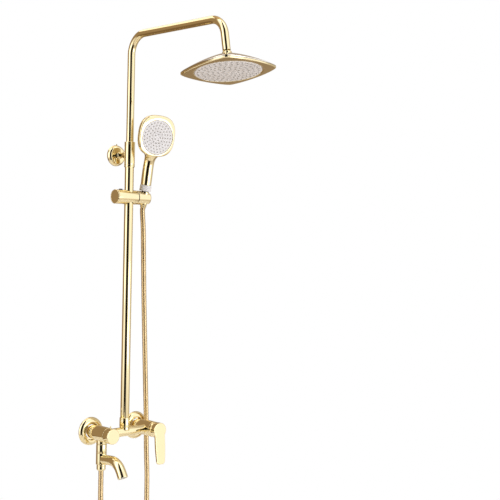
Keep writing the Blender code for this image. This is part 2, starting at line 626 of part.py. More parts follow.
def cradle():
    at = (0, -BAR_OUT, HOLDER_Z)
    left = HOLDER_SEAM + 0.0015
    profile = [(0, HOLDER_RIGHT)]
    fillet = 0.006
    for i in range(5):
        angle = pi / 2 * i / 4
        profile.append((CRADLE_RADIUS - fillet + fillet * sin(angle),
                        HOLDER_RIGHT - fillet + fillet * cos(angle)))
    profile += [(CRADLE_RADIUS, left + 0.0006), (CRADLE_RADIUS - 0.0006, left), (0, left)]
    body = turned("handset_cradle", profile, "gold_plastic", at, ALONG_BAR, steps=36)
    clearance, reach = 0.00045, 0.032
    seat = turned("cone_seat", [
        (0, reach), (cone_radius(reach) + clearance, reach), (cone_radius(-reach) + clearance, -reach),
        (0, -reach)], None, CRADLE_AXIS, (CRADLE_LEAN, 0, 0), steps=28)
    slot = block("hose_slot", (0.040, 0.0152, 0.070), CRADLE_AXIS + Vector((0.020, 0, 0)), None,
                 (CRADLE_LEAN, 0, 0))
    combine(body, "DIFFERENCE", [
        seat, slot, rod("pin_socket", 0.0050, 0.0, 0.0220, None, at, ALONG_BAR, steps=20)])


holder()
cradle()


# ---------------------------------------------------------------- handset

HANDSET_EULER = (Matrix.Rotation(CRADLE_LEAN, 3, "X") @ Matrix.Rotation(HANDSET_TURN, 3, "Z")).to_euler()


def squircle(half_width, half_height, centre_up, forward, sides=40, power=2.7):
    """A rounded-square row in the handset's own frame: X across, -Y forward, Z up the handle."""
    row = []
    for i in range(sides):
        angle = 2 * pi * i / sides
        c, s = cos(angle), sin(angle)
        reach = (abs(c) ** power + abs(s) ** power) ** (-1 / power)
        row.append((half_width * reach * c, -forward, centre_up + half_height * reach * s))
    return row


def water_way(place):
    """The bore up the handle, leaning forward at its top to reach the chamber behind the jet disc."""
    stops = [(0, 0, 0.0300), (0, 0, 0.0980), (0, -0.0060, 0.1140), (0, -0.0120, 0.1300)]
    way = tube_curve("handle_way", stops, 0.0050, 2)
    way.location, way.rotation_euler = place["at"], place["turn"]
    return as_mesh(way)


def handset():
    place = {"at": CRADLE_AXIS, "turn": HANDSET_EULER}
    up, face = HANDSET_HEAD_UP, HANDSET_FACE
    rows = [squircle(0.0540 * k, 0.0552 * k, up + 0.0035, face - depth)
            for k, depth in ((0.955, 0.0), (0.99, 0.002), (1.0, 0.006), (0.985, 0.012), (0.93, 0.018),
                             (0.80, 0.0235), (0.55, 0.0270), (0.25, 0.0285))]
    shell = loft("handset_shell", rows, "gold_plastic", **place)
    # height up the handle, half width, half depth, middle's distance forward
    sections = ((0.0363, 0.0143, 0.0143, 0.0), (0.060, 0.0145, 0.0145, 0.0), (0.085, 0.0142, 0.0142, 0.0004),
                (0.100, 0.0142, 0.0141, 0.0022), (0.109, 0.0156, 0.0142, 0.0052),
                (0.116, 0.0192, 0.0148, 0.0095), (0.122, 0.0246, 0.0140, 0.0122),
                (0.128, 0.0290, 0.0122, 0.0134), (0.136, 0.0300, 0.0095, 0.0140))
    sides = 20
    handle = loft("handle_solid", [
        [(wide * cos(2 * pi * i / sides), deep * sin(2 * pi * i / sides) - forward, height)
         for i in range(sides)] for height, wide, deep, forward in sections], None, **place)
    combine(shell, "UNION", [handle])
    frame = Matrix.Translation(CRADLE_AXIS) @ HANDSET_EULER.to_matrix().to_4x4()
    facing = (frame.to_3x3() @ Matrix.Rotation(pi / 2, 3, "X")).to_euler()
    face_at = frame @ Vector((0, 0, up))
    disc = {"at": face_at, "turn": facing}
    combine(shell, "DIFFERENCE", [
        rod("face_recess", 0.0473, face - 0.0058, face + 0.010, None, steps=36, **disc),
        rod("chamber", 0.0420, 0.0060, face, None, steps=28, **disc),
        water_way(place),
    ])
    turned("handset_face_plate", [
        (0, face), (0.0462, face), (0.0470, face - 0.0010), (0.0470, face - 0.0055), (0, face - 0.0055)],
        "white_plastic", steps=36, **disc)
    ring("handset_jet_disc", 0.0415, 0.0050, face - 0.0110, face - 0.0060, "dark_plastic", steps=32, **disc)
    turned("handset_collar", [
        (0.0146, 0.0358), (0.0150, 0.0352), (0.0160, 0.0205), (0.0152, 0.0195), (0.0060, 0.0195),
        (0.0060, 0.0358)], "white_plastic", steps=28, **place)
    ring("handset_washer", 0.0095, 0.0056, 0.0168, 0.0190, "rubber", **place)
    turned("hose_cone_nut", [
        (cone_radius(CONE_HIGH), CONE_HIGH), (cone_radius(-0.0200), -0.0200), (0.0078, CONE_LOW),
        (0.0050, CONE_LOW), (0.0050, CONE_HIGH)], "gold", steps=28, **place)


handset()


# ---------------------------------------------------------------- hose

def hose():
    """The free hose: down from the outlet nut, round a hanging loop and up to the handset's cone nut."""
    foot = Vector((-INLET_X, -COLUMN_OUT, HOSE_NUT_LOW - GAP))
    below_top, top = along_cradle(CONE_LOW - 0.012), along_cradle(CONE_LOW - 3 * GAP)
    middle_x, loop_z, loop_radius = 0.0137, -0.331, 0.0885
    left_out, right_out = 0.0540, 0.0255
    loop = []
    for i in range(9):
        angle = pi * i / 8
        loop.append((middle_x - loop_radius * cos(angle), -left_out + (left_out - right_out) * i / 8,
                     loop_z - loop_radius * sin(angle)))
    route = [
        foot, (-0.0750, -0.0527, -0.115), (-0.0754, -0.0532, -0.150), (-0.0753, -0.0538, -0.205),
        (-0.0750, -0.0538, -0.268), *loop, (0.1024, -0.0250, -0.268), (0.1028, -0.0243, -0.190),
        (0.1030, -0.0232, -0.135), (0.1015, -0.0205, -0.070), (0.1007, -0.0192, -0.010),
        (0.0990, -0.0195, 0.030), (0.0955, -0.0215, 0.070), (0.0885, -0.0265, 0.133),
        (0.0785, -0.0335, 0.230), (0.0670, -0.0415, 0.345), (0.0570, -0.0490, 0.450),
        (0.0485, -0.0560, 0.540), below_top, top]
    tube = tube_curve("shower_hose", smooth_path(route, 0.0240), HOSE_RADIUS, 3)
    keep(tube, "hose_metal")


hose()

for obj in PARTS.objects:
    if obj.type == "MESH" and not any(m.type == "SCREW" for m in obj.modifiers):
        obj.data.shade_smooth()
        obj.data.set_sharp_from_angle(angle=radians(35))
    for modifier in obj.modifiers:
        if modifier.type == "SCREW":
            modifier.use_smooth_shade = True
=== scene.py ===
"""Looks for the rainfall shower column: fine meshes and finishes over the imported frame, in metres."""

from math import cos, pi, radians, sin, tan

import bmesh
import bpy
import json
from mathutils import Euler, Matrix, Vector


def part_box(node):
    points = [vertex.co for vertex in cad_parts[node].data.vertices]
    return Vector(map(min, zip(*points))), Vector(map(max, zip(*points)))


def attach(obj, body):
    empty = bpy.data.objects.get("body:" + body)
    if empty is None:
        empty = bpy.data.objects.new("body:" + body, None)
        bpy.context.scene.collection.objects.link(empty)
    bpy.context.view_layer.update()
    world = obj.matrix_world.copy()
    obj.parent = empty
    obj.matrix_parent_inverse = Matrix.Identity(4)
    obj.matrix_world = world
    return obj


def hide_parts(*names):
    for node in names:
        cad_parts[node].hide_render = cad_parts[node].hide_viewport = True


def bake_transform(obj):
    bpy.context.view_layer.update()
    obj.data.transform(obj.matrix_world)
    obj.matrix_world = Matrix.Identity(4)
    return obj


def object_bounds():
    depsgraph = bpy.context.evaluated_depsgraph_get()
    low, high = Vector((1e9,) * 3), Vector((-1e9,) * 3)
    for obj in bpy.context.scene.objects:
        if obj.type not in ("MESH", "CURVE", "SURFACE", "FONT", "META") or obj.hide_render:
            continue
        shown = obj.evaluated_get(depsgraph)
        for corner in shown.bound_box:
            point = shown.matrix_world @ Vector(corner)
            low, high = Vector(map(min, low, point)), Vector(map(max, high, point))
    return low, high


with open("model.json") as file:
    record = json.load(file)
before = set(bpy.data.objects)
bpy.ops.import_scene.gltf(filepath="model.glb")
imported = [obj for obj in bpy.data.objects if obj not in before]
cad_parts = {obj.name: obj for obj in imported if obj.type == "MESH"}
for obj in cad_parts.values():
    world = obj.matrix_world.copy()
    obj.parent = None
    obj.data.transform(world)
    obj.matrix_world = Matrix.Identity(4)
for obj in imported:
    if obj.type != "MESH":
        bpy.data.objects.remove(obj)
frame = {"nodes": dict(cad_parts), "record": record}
CAD_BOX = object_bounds()
bpy.ops.object.select_all(action="DESELECT")


# ------------------------------------------------------------------ camera
# A long lens from the left of the column, level with the upper half of the riser.
# It looks almost level, with a slight roll.

def aim_camera():
    azimuth, pitch, roll = radians(43.94), radians(-0.60), radians(1.15)
    look = Vector((sin(azimuth) * cos(pitch), cos(azimuth) * cos(pitch), sin(pitch)))
    level_right = Vector((cos(azimuth), -sin(azimuth), 0))
    level_up = level_right.cross(look)
    right = level_right * cos(roll) + level_up * sin(roll)
    up = level_up * cos(roll) - level_right * sin(roll)
    bpy.ops.object.camera_add(location=(-1.651, -2.241, 0.524))
    camera = bpy.context.object
    camera.rotation_euler = Matrix((right, up, -look)).transposed().to_euler()
    camera.data.sensor_width, camera.data.lens = 36, 72.5544
    bpy.context.scene.camera = camera


aim_camera()
bpy.context.scene.view_settings.view_transform = "Standard"


# ------------------------------------------------------------------ floor and light
# A pale studio floor under the hanging column, and a soft white room round it.
# The room holds a dark strip and a warm far side, which polished metal needs to look like metal.

def lay_floor():
    bpy.ops.mesh.primitive_plane_add(size=3, location=(0, 0, CAD_BOX[0][2] - 0.35))
    floor = bpy.context.object
    floor.name = "studio_floor"
    paint = bpy.data.materials.new("pale_floor")
    paint.use_nodes = True
    shader = paint.node_tree.nodes["Principled BSDF"]
    shader.inputs["Base Color"].default_value = (0.97, 0.97, 0.97, 1)
    shader.inputs["Roughness"].default_value = 0.9
    floor.data.materials.append(paint)


def paint_ramp(ramp, stops):
    """Sets a colour ramp to (position, colour) stops."""
    for end, (position, colour) in ((0, stops[0]), (1, stops[-1])):
        ramp.elements[end].position, ramp.elements[end].color = position, (*colour, 1)
    for position, colour in stops[1:-1]:
        ramp.elements.new(position).color = (*colour, 1)


def light_room():
    world = bpy.data.worlds.new("studio_room")
    bpy.context.scene.world = world
    world.use_nodes = True
    nodes, links = world.node_tree.nodes, world.node_tree.links
    nodes.clear()
    place = nodes.new("ShaderNodeTexCoord")
    parts = nodes.new("ShaderNodeSeparateXYZ")
    links.new(place.outputs["Generated"], parts.inputs[0])
    around = nodes.new("ShaderNodeMath")
    around.operation = "ARCTAN2"
    links.new(parts.outputs["Y"], around.inputs[0])
    links.new(parts.outputs["X"], around.inputs[1])
    turn = nodes.new("ShaderNodeMapRange")
    turn.inputs["From Min"].default_value = -pi
    turn.inputs["From Max"].default_value = pi
    links.new(around.outputs[0], turn.inputs["Value"])
    walls = nodes.new("ShaderNodeValToRGB")
    white, grey = (1.17, 1.17, 1.24), (0.62, 0.57, 0.52)
    warm, brown, black = (0.50, 0.42, 0.34), (0.34, 0.24, 0.15), (0.012, 0.010, 0.008)
    # once round the room: 0 and 1 are towards -X, 0.25 is out of the wall and 0.5 is towards +X
    paint_ramp(walls.color_ramp, [
        (0.000, white), (0.040, white), (0.056, black), (0.200, black), (0.216, white), (0.400, white),
        (0.430, grey), (0.520, grey), (0.600, warm), (0.700, brown), (0.895, brown), (0.925, white),
        (1.000, white)])
    links.new(turn.outputs[0], walls.inputs[0])
    height = nodes.new("ShaderNodeValToRGB")
    # from straight down at 0 to straight up at 1
    paint_ramp(height.color_ramp, [
        (0.00, (0.50, 0.45, 0.40)), (0.28, (0.62, 0.55, 0.47)), (0.37, (1.0, 1.0, 1.0)),
        (0.85, (1.0, 1.0, 1.0)), (0.93, (1.5, 1.5, 1.5)), (1.0, (1.9, 1.9, 1.9))])
    lift = nodes.new("ShaderNodeMapRange")
    lift.inputs["From Min"].default_value = -1
    links.new(parts.outputs["Z"], lift.inputs["Value"])
    links.new(lift.outputs[0], height.inputs[0])
    mixed = nodes.new("ShaderNodeMix")
    mixed.data_type, mixed.blend_type = "RGBA", "MULTIPLY"
    mixed.inputs["Factor"].default_value = 1.0
    links.new(walls.outputs[0], mixed.inputs["A"])
    links.new(height.outputs[0], mixed.inputs["B"])
    room = nodes.new("ShaderNodeBackground")
    room.inputs["Strength"].default_value = 1.0
    links.new(mixed.outputs["Result"], room.inputs["Color"])
    white = nodes.new("ShaderNodeBackground")
    white.inputs["Color"].default_value = (1, 1, 1, 1)
    white.inputs["Strength"].default_value = 1.0
    seen = nodes.new("ShaderNodeLightPath")
    either = nodes.new("ShaderNodeMixShader")
    links.new(seen.outputs["Is Camera Ray"], either.inputs[0])
    links.new(room.outputs[0], either.inputs[1])
    links.new(white.outputs[0], either.inputs[2])
    out = nodes.new("ShaderNodeOutputWorld")
    links.new(either.outputs[0], out.inputs["Surface"])


def hang_light(name, place, target, size, power):
    bpy.ops.object.light_add(type="AREA", location=place)
    lamp = bpy.context.object
    lamp.name = name
    lamp.data.shape = "RECTANGLE"
    lamp.data.size, lamp.data.size_y = size
    lamp.data.energy = power
    lamp.rotation_euler = (Vector(target) - Vector(place)).to_track_quat("-Z", "Y").to_euler()
    lamp.visible_camera = False


lay_floor()
light_room()
hang_light("key_softbox", (-3.2, 0.5, 1.3), (0, -0.2, 0.4), (1.0, 2.6), 9)
hang_light("fill_softbox", (0.9, -3.2, -0.05), (0, -0.3, 0.7), (1.2, 1.2), 18)
hang_light("high_softbox", (-0.2, 1.4, 2.6), (0, -0.2, 0.9), (2.4, 1.0), 9)


# ------------------------------------------------------------------ shower hose
# A 14 mm hose of gold-coated steel strip, wound so that each turn hooks the next.
# It leaves the outlet nut, hangs in one loop under the mixer and climbs to the handset's cone nut.
# It is cut into lengths at the heights listed for the holder's joints, and each length is swept ring by ring.

def surface(name, colour, metallic, roughness, bump=0.0, grain=400.0, smudge=0.25, tint=0.06):
    """A finish with soft smudges in its gloss, a little drift in its colour and a fine grain."""
    material = bpy.data.materials.new(name)
    material.use_nodes = True
    nodes, links = material.node_tree.nodes, material.node_tree.links
    shader = nodes["Principled BSDF"]
    shader.inputs["Metallic"].default_value = metallic
    place = nodes.new("ShaderNodeTexCoord")
    cloud = nodes.new("ShaderNodeTexNoise")
    cloud.inputs["Scale"].default_value = 22.0
    cloud.inputs["Detail"].default_value = 5.0
    links.new(place.outputs["Object"], cloud.inputs["Vector"])
    shade = nodes.new("ShaderNodeValToRGB")
    shade.color_ramp.elements[0].position, shade.color_ramp.elements[1].position = 0.3, 0.7
    shade.color_ramp.elements[0].color = tuple(c * (1 - tint) for c in colour) + (1,)
    shade.color_ramp.elements[1].color = tuple(min(c * (1 + tint), 1) for c in colour) + (1,)
    links.new(cloud.outputs["Fac"], shade.inputs[0])
    links.new(shade.outputs[0], shader.inputs["Base Color"])
    gloss = nodes.new("ShaderNodeMapRange")
    gloss.inputs["From Min"].default_value, gloss.inputs["From Max"].default_value = 0.3, 0.75
    gloss.inputs["To Min"].default_value = roughness * (1 - smudge)
    gloss.inputs["To Max"].default_value = roughness * (1 + smudge)
    links.new(cloud.outputs["Fac"], gloss.inputs["Value"])
    links.new(gloss.outputs[0], shader.inputs["Roughness"])
    fine = nodes.new("ShaderNodeTexNoise")
    fine.inputs["Scale"].default_value = grain
    fine.inputs["Detail"].default_value = 3.0
    links.new(place.outputs["Object"], fine.inputs["Vector"])
    relief = nodes.new("ShaderNodeBump")
    relief.inputs["Strength"].default_value = bump
    relief.inputs["Distance"].default_value = 0.0004
    links.new(fine.outputs["Fac"], relief.inputs["Height"])
    links.new(relief.outputs[0], shader.inputs["Normal"])
    return material


HOSE_GOLD = surface("hose_strip_gold", (0.74, 0.56, 0.30), 1.0, 0.26, bump=0.10, grain=900, tint=0.10)


def smooth_route(stops, spacing):
    """Points an even spacing apart on a smooth curve through the stops."""
    stops = [Vector(p) for p in stops]
    ends = [stops[0] * 2 - stops[1]] + stops + [stops[-1] * 2 - stops[-2]]
    dense = []
    for a, b, c, d in zip(ends, ends[1:], ends[2:], ends[3:]):
        pieces = max(4, int((c - b).length / 0.0005))
        for k in range(pieces):
            t = k / pieces
            dense.append(b * (2 * t ** 3 - 3 * t ** 2 + 1) + (c - a) * 0.5 * (t ** 3 - 2 * t ** 2 + t)
                         + c * (3 * t ** 2 - 2 * t ** 3) + (d - b) * 0.5 * (t ** 3 - t ** 2))
    dense.append(stops[-1])
    path, walked, wanted = [dense[0]], 0.0, spacing
    for p, q in zip(dense, dense[1:]):
        walked += (q - p).length
        if walked >= wanted:
            path.append(q)
            wanted += spacing
    return path


def ring_path(bm, path, stations, sides, closed=False):
    """Skins rings of vertices along the path. Each station is a point's number and its ring's radius."""
    rows, side = [], Vector((1, 0, 0))
    for i, radius in stations:
        ahead = (path[min(i + 1, len(path) - 1)] - path[max(i - 1, 0)]).normalized()
        side = (side - ahead * side.dot(ahead)).normalized()
        other = ahead.cross(side)
        turns = [2 * pi * k / sides for k in range(sides)]
        rows.append([bm.verts.new(path[i] + (side * cos(a) + other * sin(a)) * radius) for a in turns])
    for first, second in list(zip(rows, rows[1:])) + ([(rows[-1], rows[0])] if closed else []):
        for k in range(sides):
            bm.faces.new((first[k], first[(k + 1) % sides], second[(k + 1) % sides], second[k]))
    if not closed:
        bm.faces.new(rows[0][::-1])
        bm.faces.new(rows[-1])


def sweep(name, path, radius_at, material, sides=18):
    """A closed tube of rings round the path, with its own width at each step."""
    bm = bmesh.new()
    ring_path(bm, path, [(i, radius_at(i)) for i in range(len(path))], sides)
    bmesh.ops.recalc_face_normals(bm, faces=bm.faces)
    mesh = bpy.data.meshes.new(name)
    bm.to_mesh(mesh)
    bm.free()
    mesh.materials.append(material)
    mesh.shade_smooth()
    tube = bpy.data.objects.new(name, mesh)
    bpy.context.scene.collection.objects.link(tube)
    return tube


SEAT_X, SEAT_Y, CRADLE_LEAN = 0.041, -0.067, radians(10.0)


def make_hose():
    seat = Vector((SEAT_X, SEAT_Y, 0.631))
    down_cradle = Vector((0, sin(CRADLE_LEAN), -cos(CRADLE_LEAN)))
    middle_x, loop_z, loop_radius = 0.0137, -0.331, 0.0885
    left_out, right_out = 0.0540, 0.0255
    loop = [(middle_x - loop_radius * cos(pi * i / 8), -left_out + (left_out - right_out) * i / 8,
             loop_z - loop_radius * sin(pi * i / 8)) for i in range(9)]
    route = [
        (-0.0750, -0.0526, -0.0963), (-0.0750, -0.0527, -0.115), (-0.0754, -0.0532, -0.150),
        (-0.0753, -0.0538, -0.205), (-0.0750, -0.0538, -0.268), *loop, (0.1024, -0.0250, -0.268),
        (0.1028, -0.0243, -0.190), (0.1030, -0.0232, -0.135), (0.1015, -0.0205, -0.070),
        (0.1007, -0.0192, -0.010), (0.0990, -0.0195, 0.030), (0.0955, -0.0215, 0.070),
        (0.0885, -0.0265, 0.133), (0.0785, -0.0335, 0.230), (0.0670, -0.0415, 0.345),
        (0.0570, -0.0490, 0.450), (0.0485, -0.0560, 0.540), seat + down_cradle * 0.038,
        seat + down_cradle * 0.0269]
    rings_a_turn, pitch = 4, 0.0032
    path = smooth_route(route, pitch / rings_a_turn)
    climb = path.index(min(path, key=lambda p: p.z))
    joints = [("wall_mixer", "slider_bush", 0.03, 0.37), ("slider_bush", "slider", 0.37, 0.46),
              ("slider", "cradle", 0.46, 0.56), ("cradle", "handset", 0.56, 0.60)]
    crest, groove = 0.0070, 0.0062
    profile = [groove, crest, crest, crest * 0.985]
    lengths, first = [], 0
    for number, (lower, upper, low, high) in enumerate(joints):
        last = len(path) - 1
        if number < len(joints) - 1:
            last = next(i for i in range(climb, len(path)) if path[i].z > high)
        stretch = path[first:last + 1]
        tube = sweep(f"hose_{number + 1}", stretch,
                     lambda i, at=first: profile[(i + at) % rings_a_turn], HOSE_GOLD)
        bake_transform(tube)
        lengths.append((tube, stretch))
        first = last
    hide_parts("shower_hose")


make_hose()


# ------------------------------------------------------------------ wall inlets
# Each inlet is a brass union out of the wall, a gold nut that pulls the mixer onto it,
# and a thin domed flange that hides the hole in the tiles. All are turned from brass.

POLISHED = surface("polished_gold", (0.93, 0.795, 0.46), 1.0, 0.075, bump=0.02, grain=260, tint=0.02)
SATIN_BRASS = surface("turned_brass", (0.74, 0.55, 0.27), 1.0, 0.34, bump=0.20, grain=700)
BLACK_RUBBER = surface("moulded_rubber", (0.025, 0.025, 0.025), 0.0, 0.62, bump=0.15, grain=500)


def centre_of(node):
    low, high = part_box(node)
    return (Vector(low) + Vector(high)) / 2


def dress(node, material):
    """Gives a frame part that stays in view, or inside, its finish."""
    part = frame["nodes"][node]
    part.data.materials.clear()
    part.data.materials.append(material)


def start_piece(name):
    bpy.ops.object.select_all(action="DESELECT")
    bpy.ops.mesh.primitive_circle_add(vertices=3, radius=0.001, location=(0, 0, 0))
    bpy.context.object.name = name
    bpy.ops.object.mode_set(mode="EDIT")
    bpy.ops.mesh.select_all(action="SELECT")
    bpy.ops.mesh.merge(type="CENTER")


def draw_line(points):
    """Moves the one vertex to the first point and extrudes it on through the others."""
    bpy.ops.transform.translate(value=points[0])
    for here, there in zip(points, points[1:]):
        bpy.ops.mesh.extrude_region_move(TRANSFORM_OT_translate={"value": there - here})


def finish_piece(material, body, nodes=(), smooth=35):
    """Closes the mesh, smooths it, and hands the piece to the frame."""
    bpy.ops.mesh.select_all(action="SELECT")
    bpy.ops.mesh.remove_doubles(threshold=2e-6)
    bpy.ops.mesh.normals_make_consistent(inside=False)
    bpy.ops.object.mode_set(mode="OBJECT")
    piece = bpy.context.object
    bpy.ops.object.transform_apply(location=True, rotation=True, scale=True)
    bpy.ops.object.shade_smooth_by_angle(angle=radians(smooth))
    piece.data.materials.clear()
    piece.data.materials.append(material)
    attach(piece, body)
    if nodes:
        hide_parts(*nodes)
    return piece


def join_as(name, pieces):
    """Joins the pieces to the first of them, names it, and opens it for editing."""
    for piece in pieces:
        piece.select_set(True)
    bpy.context.view_layer.objects.active = pieces[0]
    bpy.ops.object.join()
    bpy.context.object.name = name
    bpy.ops.object.mode_set(mode="EDIT")


def turn_profile(profile, foot, axis, steps=96, soften=0.0004):
    """Draws half a section, rounds its corners and spins it about the axis through foot."""
    foot, axis = Vector(foot), Vector(axis).normalized()
    side = axis.orthogonal().normalized()
    draw_line([foot + side * radius + axis * height for radius, height in profile])
    bpy.ops.mesh.select_all(action="SELECT")
    if soften:
        bpy.ops.mesh.bevel(offset=soften, segments=3, affect="VERTICES", clamp_overlap=True)
        bpy.ops.mesh.select_all(action="SELECT")
    bpy.ops.mesh.spin(steps=steps, angle=2 * pi, center=foot, axis=axis)


def turned(name, profile, foot, axis, material, body, nodes=(), steps=96, soften=0.0004):
    start_piece(name)
    turn_profile(profile, foot, axis, steps, soften)
    return finish_piece(material, body, nodes)


OUT = Vector((0, -1, 0))


def make_inlets():
    rim, height, inside = 0.0378, 0.0106, 0.0183
    for side in ("left", "right"):
        middle = centre_of(f"wall_flange_{side}")
        foot = Vector((middle.x, 0, middle.z))
        dome = [(0.0262 + (rim - 0.0262) * sin(t * pi / 20), height * cos(t * pi / 20)) for t in range(11)]
        turned(f"flange_{side}", [(inside, 0.0045), (0.0218, 0.0047), (0.0222, 0.0052), (0.0226, 0.0090),
                                  (0.0230, 0.0099), (0.0240, 0.0104)] + dome
               + [(0.0345, 0.0), (0.0320, 0.0058), (0.0250, 0.0076), (0.0240, 0.0028), (inside, 0.0025),
                  (inside, 0.0045)],
               foot, OUT, POLISHED, "wall_mixer", [f"wall_flange_{side}"], soften=0)
        nut = [(0.0110, 0.0294), (0.0166, 0.0294), (0.0180, 0.0280), (0.0180, 0.0250), (0.0174, 0.0244),
               (0.0174, 0.0236), (0.0180, 0.0230), (0.0180, 0.0104), (0.0168, 0.0090), (0.0132, 0.0090),
               (0.0132, 0.0276), (0.0110, 0.0276), (0.0110, 0.0294)]
        turned(f"nut_{side}", nut, foot, OUT, POLISHED, "wall_mixer", [f"union_nut_{side}"])
        dress(f"inlet_union_{side}", SATIN_BRASS)
        dress(f"inlet_washer_{side}", BLACK_RUBBER)


make_inlets()


# ------------------------------------------------------------------ mixer body
# One hollow brass casting, ground and polished: two housings joined by a round bar,
# with a threaded spigot for the riser and a boss for the outlet column.

def make_mixer():
    bar_out = -centre_of("lower_riser").y
    riser_x = centre_of("lower_riser").x
    hubs = {"left": (0.0205, 0.0845, 0.0160), "right": (0.0210, 0.0870, 0.0180)}
    shells = []
    for side, (radius, front, pocket) in hubs.items():
        middle = centre_of(f"wall_flange_{side}")
        start_piece(f"housing_{side}")
        turn_profile([(0, 0.0560), (pocket, 0.0560), (pocket, front), (radius - 0.0004, front),
                      (radius, front - 0.0004), (radius, 0.0316), (radius - 0.0016, 0.0300),
                      (0.0126, 0.0300), (0.0126, 0.0273), (0.0106, 0.0273), (0.0106, 0.0248), (0, 0.0248)],
                     (middle.x, 0, middle.z), OUT, steps=112, soften=0.0005)
        bpy.ops.object.mode_set(mode="OBJECT")
        shells.append(bpy.context.object)
    rods = [((-0.066, -bar_out, 0), (1, 0, 0), [(0, 0), (0.0125, 0), (0.0125, 0.132), (0, 0.132)]),
            ((riser_x, -bar_out, 0), (0, 0, 1), [
                (0, 0.004), (0.0135, 0.004), (0.0135, 0.0131), (0.0106, 0.0131), (0.0106, 0.024),
                (0, 0.024)]),
            ((-0.075, -0.0526, 0), (0, 0, -1), [(0, 0.012), (0.0140, 0.012), (0.0140, 0.0270), (0, 0.0270)])]
    for i, (foot, axis, profile) in enumerate(rods):
        start_piece(f"rod_{i}")
        turn_profile(profile, foot, axis, steps=72)
        bpy.ops.object.mode_set(mode="OBJECT")
        shells.append(bpy.context.object)
    join_as("mixer_casting", shells)
    finish_piece(POLISHED, "wall_mixer", ["mixer_body"])


make_mixer()


# ------------------------------------------------------------------ lever and its cartridge
# The cap over the cartridge is a shallow brass dome with a hole for the stem.
# The lever is one zinc casting: a flat-faced cup on the stem and a long paddle that leans outward.

PALE_PLASTIC = surface("cartridge_plastic", (0.72, 0.73, 0.71), 0.0, 0.40, bump=0.10, grain=600)
PLATED_STEEL = surface("plated_steel", (0.60, 0.60, 0.59), 1.0, 0.30, bump=0.15, grain=700)


def make_lever():
    middle = centre_of("wall_flange_right")
    foot = Vector((middle.x, 0, middle.z))
    sphere, pivot_out = 0.0203, 0.0880
    cap = [(sphere * sin(radians(a)), pivot_out + sphere * cos(radians(a))) for a in range(41, 94, 4)]
    turned("cap_dome", [(0.0130, 0.0974), (0.0130, cap[0][1])] + cap
           + [(0.0186, cap[-1][1]), (0.0186, 0.0900), (0.0160, 0.0974), (0.0130, 0.0974)],
           foot, OUT, POLISHED, "wall_mixer", ["cartridge_dome"], soften=0)

    front, back, reach = 0.1130, 0.0978, 0.0210
    start_piece("lever_cup")
    turn_profile([(0, front), (reach - 0.0012, front), (reach - 0.0004, front - 0.0004),
                  (reach, front - 0.0012), (reach, back), (0.0190, back), (0.0190, 0.1086),
                  (0.0075, 0.1086), (0.0075, 0.1010), (0, 0.1010)], foot, OUT, steps=112, soften=0.0003)
    bpy.ops.object.mode_set(mode="OBJECT")
    cup = bpy.context.object
    half = [(0.0163, -0.002), (0.0163, -0.022), (0.0162, -0.045), (0.0156, -0.058), (0.0150, -0.068),
            (0.0136, -0.0800)]
    half += [(0.0052 + 0.0084 * cos(a * pi / 16), -0.0826 - 0.0084 * sin(a * pi / 16)) for a in range(9)]
    outline = half + [(-x, z) for x, z in reversed(half)]
    thick, lean = 0.0060, radians(-5.0)
    start_piece("lever_paddle")
    draw_line([Vector((x, thick / 2, z)) for x, z in outline])
    bpy.ops.mesh.select_all(action="SELECT")
    bpy.ops.mesh.edge_face_add()
    bpy.ops.mesh.extrude_region_move(TRANSFORM_OT_translate={"value": (0, -thick, 0)})
    bpy.ops.mesh.select_all(action="SELECT")
    bpy.ops.mesh.normals_make_consistent(inside=False)
    bpy.ops.object.mode_set(mode="OBJECT")
    paddle = bpy.context.object
    rounding = paddle.modifiers.new("ground edges", "BEVEL")
    rounding.width, rounding.segments, rounding.limit_method = 0.0012, 5, "ANGLE"
    rounding.angle_limit = radians(50)
    bpy.ops.object.modifier_apply(modifier=rounding.name)
    paddle.location = foot + OUT * (front - thick / 2 - 0.0004)
    paddle.rotation_euler = (lean, 0, 0)
    bpy.ops.object.transform_apply(location=True, rotation=True, scale=True)
    join_as("lever_casting", [cup, paddle])
    finish_piece(POLISHED, "lever", ["lever_handle"], smooth=40)
    for node, finish in (("mixing_cartridge", PALE_PLASTIC), ("cartridge_nut", SATIN_BRASS),
                         ("stem_carrier", PALE_PLASTIC), ("stem_pin", PLATED_STEEL),
                         ("cartridge_stem", SATIN_BRASS), ("lever_grub_screw", PLATED_STEEL)):
        dress(node, finish)


make_lever()


# ------------------------------------------------------------------ diverter knob
# A turned brass cup over the diverter's spindle, with three short pegs for the fingers.
# The pegs are pressed in level with the middle of its rim.

def make_knob():
    middle = centre_of("wall_flange_left")
    foot = Vector((middle.x, 0, middle.z))
    front, back, reach = 0.1050, 0.0853, 0.0203
    start_piece("knob_cup")
    turn_profile([(0, front), (reach - 0.0014, front), (reach - 0.0004, front - 0.0005),
                  (reach, front - 0.0014), (reach, back), (0.0180, back), (0.0180, 0.0995),
                  (0.0070, 0.0995), (0.0070, 0.0890), (0, 0.0890)], foot, OUT, steps=112, soften=0.0003)
    bpy.ops.object.mode_set(mode="OBJECT")
    parts = [bpy.context.object]
    for i in range(3):
        angle = radians(90 + 120 * i)
        start_piece(f"peg_{i}")
        turn_profile([(0, 0.0190), (0.0017, 0.0190), (0.0017, 0.0256), (0.0011, 0.0262), (0, 0.0262)],
                     foot + OUT * 0.0915, (cos(angle), 0, sin(angle)), steps=24, soften=0.0003)
        bpy.ops.object.mode_set(mode="OBJECT")
        parts.append(bpy.context.object)
    join_as("diverter_cup", parts)
    finish_piece(POLISHED, "diverter", ["diverter_knob"])
    for node, finish in (("diverter_cartridge", PALE_PLASTIC), ("diverter_nut", SATIN_BRASS),
                         ("diverter_spindle", SATIN_BRASS)):
        dress(node, finish)


make_knob()


